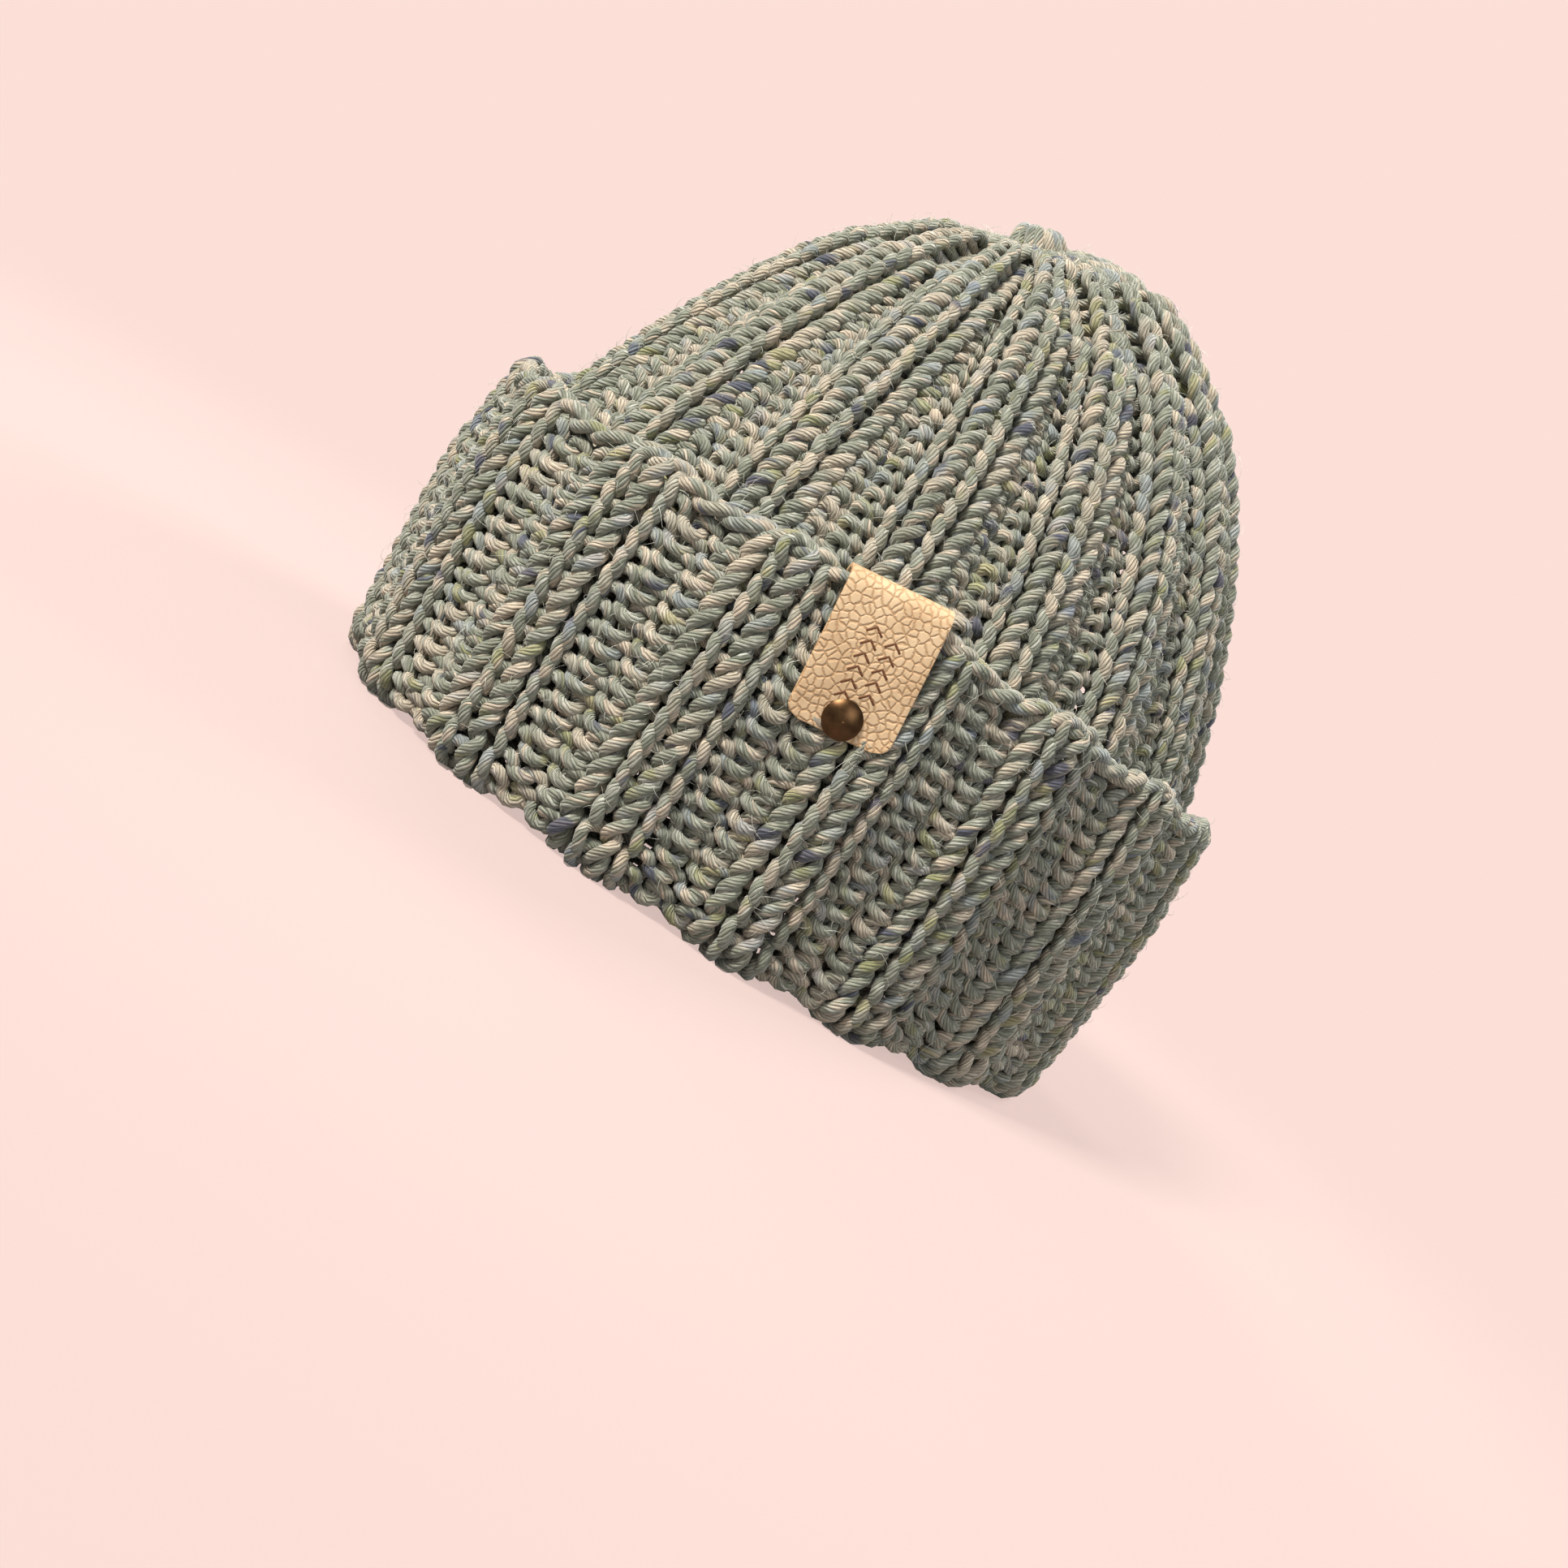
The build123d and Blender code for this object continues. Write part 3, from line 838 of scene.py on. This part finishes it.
# Closing yarn: two turns drawn tight under the last stitches
closing = {
    "turns": 2.0,
    "steps": 90,
    "radius": 6.0,
    "strand": 1.3,
    "under": 5.0,
    "pitch": 1.3,
    "wobble": (0.5, 3),  # in and out, and how many times a turn
    "bob": (0.3, 5),
}
t = np.linspace(0, 1, closing["steps"])
turn = 2 * math.pi * closing["turns"] * t
radius = closing["radius"] + closing["wobble"][0] * np.sin(closing["wobble"][1] * turn)
height = closing["bob"][0] * np.sin(closing["bob"][1] * turn)
height = height - closing["under"] - closing["pitch"] * closing["turns"] * t
points = onTop(radius * np.cos(turn), radius * np.sin(turn), height)
normal = np.tile(topUp, (len(t), 1))
thick = np.full(len(t), closing["strand"])
skin = tube(points, normal, thick, walked(points, False, yarnStart), stitch["sides"], False)
closingPiece = meshOf("closingYarn", [skin], tweed)
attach(closingPiece, "hat_body")
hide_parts("closing_yarn")
print("crown closed")

# Tag: a leather strip folded over the cast-on edge
tag = {
    "width": 24.2,
    "thickness": 1.1,
    "foldRadius": 3.35,
    "leg": 30.3,
    "tilt": 9.0,
    "rivetEdge": 3.8,
    "corner": 3.5,
    "bulge": 0.7,
    "bulgePower": 0.8,
    "curl": 1.1,  # the front leg's lower corners lift away from the knit
    "curlAcross": (5, 7),  # where it starts from the middle, and over what width it grows
    "curlLength": 12,
    "softEdge": 0.22,
    "across": 26,
    "along": 76,
}
rivetLow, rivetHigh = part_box("rivet_post")
rivet = (rivetLow + rivetHigh) / 2 / mm
axis = Vector(joints[0]["axis"])
tagOut = Vector((axis.y, -axis.x, 0))
tilt = math.radians(tag["tilt"])
up = Vector((0, 0, 1))
tagAcross = axis * math.cos(tilt) + up * math.sin(tilt)
tagUp = up * math.cos(tilt) - axis * math.sin(tilt)
tagFold = rivet + tagUp * (tag["leg"] - tag["rivetEdge"])
tagLength = 2 * tag["leg"] + math.pi * tag["foldRadius"]


def tagPoint(x, s, lift=0.0):
    # x across the tag, s along it from the end of the hidden leg, lift out of its face
    bend = np.clip((s - tag["leg"]) / tag["foldRadius"], 0, math.pi)
    radius = tag["foldRadius"] + lift
    out = -radius * np.cos(bend)
    back = np.minimum(s - tag["leg"], 0)
    front = np.maximum(s - tag["leg"] - math.pi * tag["foldRadius"], 0)
    high = radius * np.sin(bend) + back - front
    # the front leg bulges between the fold and the rivet
    share = np.clip(front / (tag["leg"] - tag["rivetEdge"]), 0, 1)
    bulge = np.sin(math.pi * share) ** tag["bulgePower"]
    out = out + tag["bulge"] * bulge * np.where(front > 0, 1, 0)
    curlStart, curlWidth = tag["curlAcross"]
    corner = np.clip((np.abs(x) - curlStart) / curlWidth, 0, 1) ** 2
    corner = corner * smooth((front - tag["leg"] + tag["curlLength"]) / tag["curlLength"])
    out = out + corner * tag["curl"]
    place = np.array(tagFold)[None, :] + out[:, None] * np.array(tagOut) + high[:, None] * np.array(tagUp)
    return place + x[:, None] * np.array(tagAcross)


def gridPiece(name, points, flat, across, along, material):
    # a sheet from a grid of points, with its own map in millimetres
    faces = []
    for i in range(along - 1):
        for j in range(across - 1):
            a = i * across + j
            faces.append((a, a + 1, a + across + 1, a + across))
    mesh = bpy.data.meshes.new(name)
    mesh.from_pydata([tuple(p) for p in points * mm], [], faces)
    layer = mesh.uv_layers.new(name="yarn")
    for loop in mesh.loops:
        layer.data[loop.index].uv = flat[loop.vertex_index]
    mesh.materials.append(material)
    mesh.polygons.foreach_set("use_smooth", np.ones(len(faces), bool))
    piece = bpy.data.objects.new(name, mesh)
    bpy.context.scene.collection.objects.link(piece)
    return piece


leatherLook = {
    "pebble": 0.52,
    "pebbleChance": 0.95,
    "crease": 0.2,  # how far the creases between pebbles reach, in the bump and in the painted shade
    "warp": 0.5,
    "tone": (0.12, 3),
    "tones": [(0.3, (206, 172, 132)), (0.7, (224, 192, 152))],
    # colour of the painted shade in the creases between pebbles
    "creaseShade": (188, 148, 106),
    "bump": (0.8, 0.22),
    "surface": {"Roughness": 0.55, "Specular IOR Level": 0.4},
}


def leatherMaterial():
    material, tree, shader = newMaterial("tagLeather")
    place = node(tree, "ShaderNodeUVMap", uv_map="yarn")
    pebble = node(tree, "ShaderNodeTexVoronoi", feature="DISTANCE_TO_EDGE", voronoi_dimensions="2D")
    pebble.inputs["Scale"].default_value = leatherLook["pebble"]
    pebble.inputs["Randomness"].default_value = leatherLook["pebbleChance"]
    warp = speckle(tree, place.outputs[0], leatherLook["warp"])
    shift = node(tree, "ShaderNodeVectorMath", operation="ADD")
    tree.links.new(place.outputs[0], shift.inputs[0])
    tree.links.new(warp.outputs["Color"], shift.inputs[1])
    tree.links.new(shift.outputs[0], pebble.inputs["Vector"])
    cell = ramp(tree, pebble.outputs["Distance"], [(0.0, (0, 0, 0)), (leatherLook["crease"], (255, 255, 255))])
    tone = speckle(tree, place.outputs[0], *leatherLook["tone"])
    base = ramp(tree, tone.outputs["Fac"], leatherLook["tones"])
    # painted shade: the creases between pebbles are coloured darker, where the bump also sinks them
    tree.links.new(mixColour(tree, cell, leatherLook["creaseShade"], base), shader.inputs["Base Color"])
    bumpy(tree, shader, cell, *leatherLook["bump"])
    setInputs(shader, leatherLook["surface"])
    return material


leather = leatherMaterial()
s = np.linspace(0, tagLength, tag["along"])
ends = np.minimum(s, tagLength - s)
inset = np.maximum(tag["corner"] - ends, 0)
half = tag["width"] / 2 - tag["corner"] + np.sqrt(np.maximum(tag["corner"] ** 2 - inset**2, 0))
gridS = np.repeat(s, tag["across"])
gridX = (half[:, None] * np.linspace(-1, 1, tag["across"])[None, :]).ravel()
flat = np.stack([gridX, gridS], -1)
tagPiece = gridPiece("tagLeather", tagPoint(gridX, gridS), flat, tag["across"], tag["along"], leather)
bpy.context.view_layer.objects.active = tagPiece
tagPiece.select_set(True)
solid = tagPiece.modifiers.new("thickness", "SOLIDIFY")
solid.thickness = tag["thickness"] * mm
solid.offset = 0
bpy.ops.object.modifier_apply(modifier="thickness")
soft = tagPiece.modifiers.new("softEdge", "BEVEL")
soft.width = tag["softEdge"] * mm
soft.segments = 2
soft.limit_method = "ANGLE"
soft.angle_limit = math.radians(50)
bpy.ops.object.modifier_apply(modifier="softEdge")
tagPiece.select_set(False)
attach(tagPiece, "cuff_01")
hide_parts("tag_strip")

# Burnt-in mark: two rows of small chevrons, like knit stitches
mark = {
    "stroke": 0.4,
    "sunk": 0.72,  # share of the stroke's radius below the leather's face
    "size": 2.5,
    "halfWidth": 0.72,  # shares of the size
    "arm": 0.62,
    "pitch": 3.0,
    "rows": [(-2.2, 6), (2.8, 5)],  # place across the tag, chevrons in the row
    "centre": 17.0,  # of both rows, from the tag's lower end
    "steps": 9,
    "sides": 8,
    "scale": 1.5,
    "tones": [(0.3, (88, 50, 24)), (0.7, (122, 76, 40))],
    "surface": {"Roughness": 0.8},
}


def markMaterial():
    material, tree, shader = newMaterial("burntMark")
    place = node(tree, "ShaderNodeUVMap", uv_map="yarn")
    tone = speckle(tree, place.outputs[0], mark["scale"])
    tree.links.new(ramp(tree, tone.outputs["Fac"], mark["tones"]), shader.inputs["Base Color"])
    setInputs(shader, mark["surface"])
    return material


skins = []
for x, count in mark["rows"]:
    for number in range(count):
        point = tagLength - mark["centre"] + (number - (count - 1) / 2) * mark["pitch"]
        t = np.linspace(-1, 1, mark["steps"])
        across = x + t * mark["size"] * mark["halfWidth"]
        down = point + np.abs(t) * mark["size"] * mark["arm"]
        points = tagPoint(across, down, tag["thickness"] / 2 - mark["stroke"] * mark["sunk"])
        normal = np.tile(np.array(tagOut), (len(t), 1))
        stroke = np.full(len(t), mark["stroke"])
        skins.append(tube(points, normal, stroke, walked(points, False), mark["sides"], False))
markPiece = meshOf("tagMark", skins, markMaterial())
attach(markPiece, "cuff_01")
print("tag ready")


rivetLook = {
    "tone": (260, 4),
    "tones": [(0.3, (70, 50, 34)), (0.7, (112, 82, 54))],
    "roughness": (0.25, 0.22),  # how much it varies, and the least
    "surface": {"Metallic": 1.0},
}


def brassMaterial():
    material, tree, shader = newMaterial("antiqueBrass")
    place = node(tree, "ShaderNodeTexCoord")
    tone = speckle(tree, place.outputs["Object"], *rivetLook["tone"], dimensions="3D")
    tree.links.new(ramp(tree, tone.outputs["Fac"], rivetLook["tones"]), shader.inputs["Base Color"])
    rough = math2(tree, "MULTIPLY_ADD", tone.outputs["Fac"], *rivetLook["roughness"])
    tree.links.new(rough, shader.inputs["Roughness"])
    setInputs(shader, rivetLook["surface"])
    return material


brass = brassMaterial()
for name in ("rivet_cap", "rivet_post", "rivet_back"):
    cad = frame["nodes"][name]
    cad.data.materials.clear()
    cad.data.materials.append(brass)

# Stage: a pale floor that takes the shadow and lets the backdrop colour through, soft studio lights
stage = {
    "colour": (252, 224, 216),  # of the backdrop
    "fill": (140, 143, 146),  # of its light on the hat
    "floor": (188, 168, 162),
    "radius": 9.0,
    "clear": 0.66,  # share of the backdrop seen through the floor near the hat
    "near": 0.13,  # metres from the middle, between which the floor fades out
    "far": 0.42,
    "surface": {"Roughness": 0.9, "Specular IOR Level": 0.1},
}


def seenOrFill(tree):
    # the backdrop colour for the camera, a dimmer neutral light for everything else
    path = node(tree, "ShaderNodeLightPath")
    return mixColour(tree, path.outputs["Is Camera Ray"], stage["fill"], stage["colour"])


def stageMaterial():
    material, tree, shader = newMaterial("paleFloor")
    shader.inputs["Base Color"].default_value = (*[srgb(c) for c in stage["floor"]], 1)
    setInputs(shader, stage["surface"])
    clear = node(tree, "ShaderNodeBsdfTransparent")
    place = node(tree, "ShaderNodeTexCoord")
    far = node(tree, "ShaderNodeVectorMath", operation="LENGTH")
    tree.links.new(place.outputs["Object"], far.inputs[0])
    spread = node(tree, "ShaderNodeMapRange", interpolation_type="SMOOTHSTEP")
    tree.links.new(far.outputs["Value"], spread.inputs["Value"])
    setInputs(spread, {"From Min": stage["near"], "From Max": stage["far"], "To Min": stage["clear"], "To Max": 1.0})
    mixed = node(tree, "ShaderNodeMixShader")
    tree.links.new(spread.outputs[0], mixed.inputs[0])
    tree.links.new(shader.outputs[0], mixed.inputs[1])
    tree.links.new(clear.outputs[0], mixed.inputs[2])
    tree.links.new(mixed.outputs[0], tree.nodes["Material Output"].inputs[0])
    return material


bpy.ops.mesh.primitive_circle_add(vertices=96, radius=stage["radius"], fill_type="NGON", location=(0, 0, 0))
floor = bpy.context.object
floor.name = "floorDisc"
floor.data.materials.append(stageMaterial())
floor.select_set(False)

world = bpy.data.worlds.new("studio")
bpy.context.scene.world = world
world.use_nodes = True
world.node_tree.links.new(seenOrFill(world.node_tree), world.node_tree.nodes["Background"].inputs[0])
bpy.context.scene.view_settings.view_transform = "Standard"


def softLight(name, place, target, size, power, colour):
    light = bpy.data.lights.new(name, "AREA")
    light.size = size
    light.energy = power
    light.color = colour
    lamp = bpy.data.objects.new(name, light)
    lamp.location = place
    lamp.rotation_euler = (Vector(target) - Vector(place)).to_track_quat("-Z", "Y").to_euler()
    bpy.context.scene.collection.objects.link(lamp)


softLight("keyLight", (0.35, -1.25, 1.35), (0, 0, 0.08), 0.45, 56, (1.0, 0.98, 0.94))
softLight("fillLight", (1.5, 0.3, 0.9), (0, 0, 0.08), 1.0, 8, (0.95, 0.97, 1.0))
softLight("backLight", (-0.5, 1.4, 1.2), (0, 0, 0.1), 0.7, 34, (1.0, 0.98, 0.96))
softLight("sideLight", (-1.5, -0.1, 0.9), (0, 0, 0.1), 0.7, 18, (1.0, 0.98, 0.96))

# Camera: low, at the wearer's left front, tipped so that the hat leans as it is worn
view = {
    "azimuth": 28.0,
    "elevation": 6.74,
    "roll": 35.48,
    "distance": 545.0,
    "target": (8.0, 2.3, 30.9),
    "lens": 50.14,
    "sensor": 36,
    "clip": (0.01, 50),
}


def addCamera():
    a, e, r = (math.radians(view[key]) for key in ("azimuth", "elevation", "roll"))
    back = Vector((math.cos(e) * math.cos(a), -math.cos(e) * math.sin(a), math.sin(e)))
    right = (-back).cross(Vector((0, 0, 1))).normalized()
    upright = right.cross(-back)
    rolledRight = right * math.cos(r) + upright * math.sin(r)
    rolledUp = upright * math.cos(r) - right * math.sin(r)
    data = bpy.data.cameras.new("camera")
    data.lens = view["lens"]
    data.sensor_width = view["sensor"]
    data.clip_start, data.clip_end = view["clip"]
    camera = bpy.data.objects.new("camera", data)
    place = Matrix((rolledRight, rolledUp, back)).transposed().to_4x4()
    place.translation = (Vector(view["target"]) + back * view["distance"]) * mm
    camera.matrix_world = place
    bpy.context.scene.collection.objects.link(camera)
    bpy.context.scene.camera = camera


addCamera()
